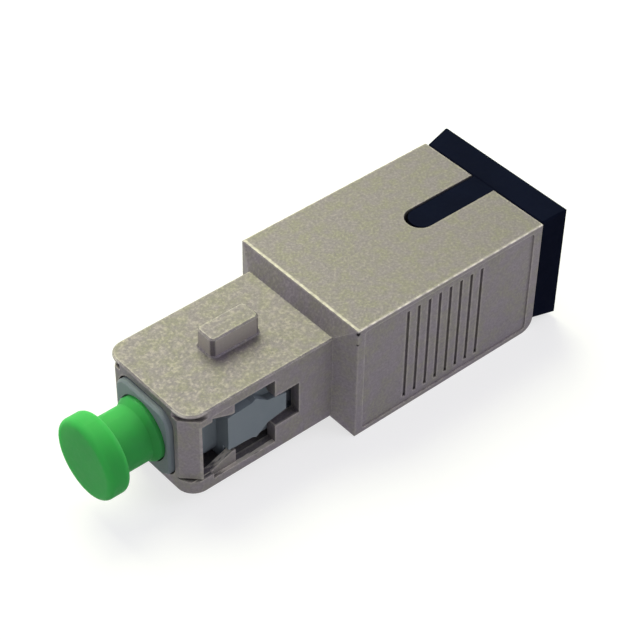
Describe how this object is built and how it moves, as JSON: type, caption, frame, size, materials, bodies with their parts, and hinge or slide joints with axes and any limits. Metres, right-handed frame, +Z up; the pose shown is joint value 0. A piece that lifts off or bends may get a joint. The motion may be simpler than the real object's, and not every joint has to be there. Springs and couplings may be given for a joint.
{
  "type": "fibre attenuator",
  "caption": "Plug-in optical attenuator for single-fibre connectors: keyed push-pull plug at one end, keyed socket at the other, in a stepped metal shell, with its dust caps.",
  "frame": {"origin": "on the flat base, under the middle of the whole length with both dust caps on", "axes": "+X along the optical axis from the plug to the socket, +Z up towards the key, +Y to the side that completes a right-handed frame"},
  "size_m": [0.0382, 0.0126, 0.0103],
  "materials": {
    "nickel_shell": "satin nickel on die-cast zinc",
    "frame_grey": "smooth moulded",
    "liner_black": "moulded",
    "holder_grey": "moulded",
    "zirconia": "polished",
    "silica": "polished",
    "collar_metal": "nickel plated",
    "spring_steel": "drawn wire",
    "cap_green": "soft translucent moulded",
    "cap_navy": "moulded"
  },
  "bodies": {
    "shell": {"outer_shell": "nickel_shell", "socket_insert": "liner_black"},
    "core": {"plug_frame": "frame_grey", "sleeve_seat": "holder_grey", "latch_holder": "holder_grey", "split_sleeve": "zirconia"},
    "ferrule": {"ferrule": "zirconia", "doped_fibre": "silica", "ferrule_collar": "collar_metal", "spring": "spring_steel"},
    "plug_cap": {"plug_cap": "cap_green"},
    "socket_cap": {"socket_cap": "cap_navy"}
  },
  "joints": [
    {"name": "push_pull_slide", "type": "slide", "parent": "shell", "child": "core", "axis": [-1, 0, 0], "range_m": [0, 0.0015]},
    {"name": "ferrule_float", "type": "slide", "parent": "core", "child": "ferrule", "axis": [1, 0, 0], "range_m": [0, 0.0008], "stiffness_N_per_m": 2500, "springref_m": -0.003, "deforming": ["spring"]},
    {"name": "plug_cap_pull", "type": "slide", "parent": "core", "child": "plug_cap", "axis": [-1, 0, 0], "range_m": [0, 0.01]},
    {"name": "socket_cap_pull", "type": "slide", "parent": "shell", "child": "socket_cap", "axis": [1, 0, 0], "range_m": [0, 0.009]}
  ]
}
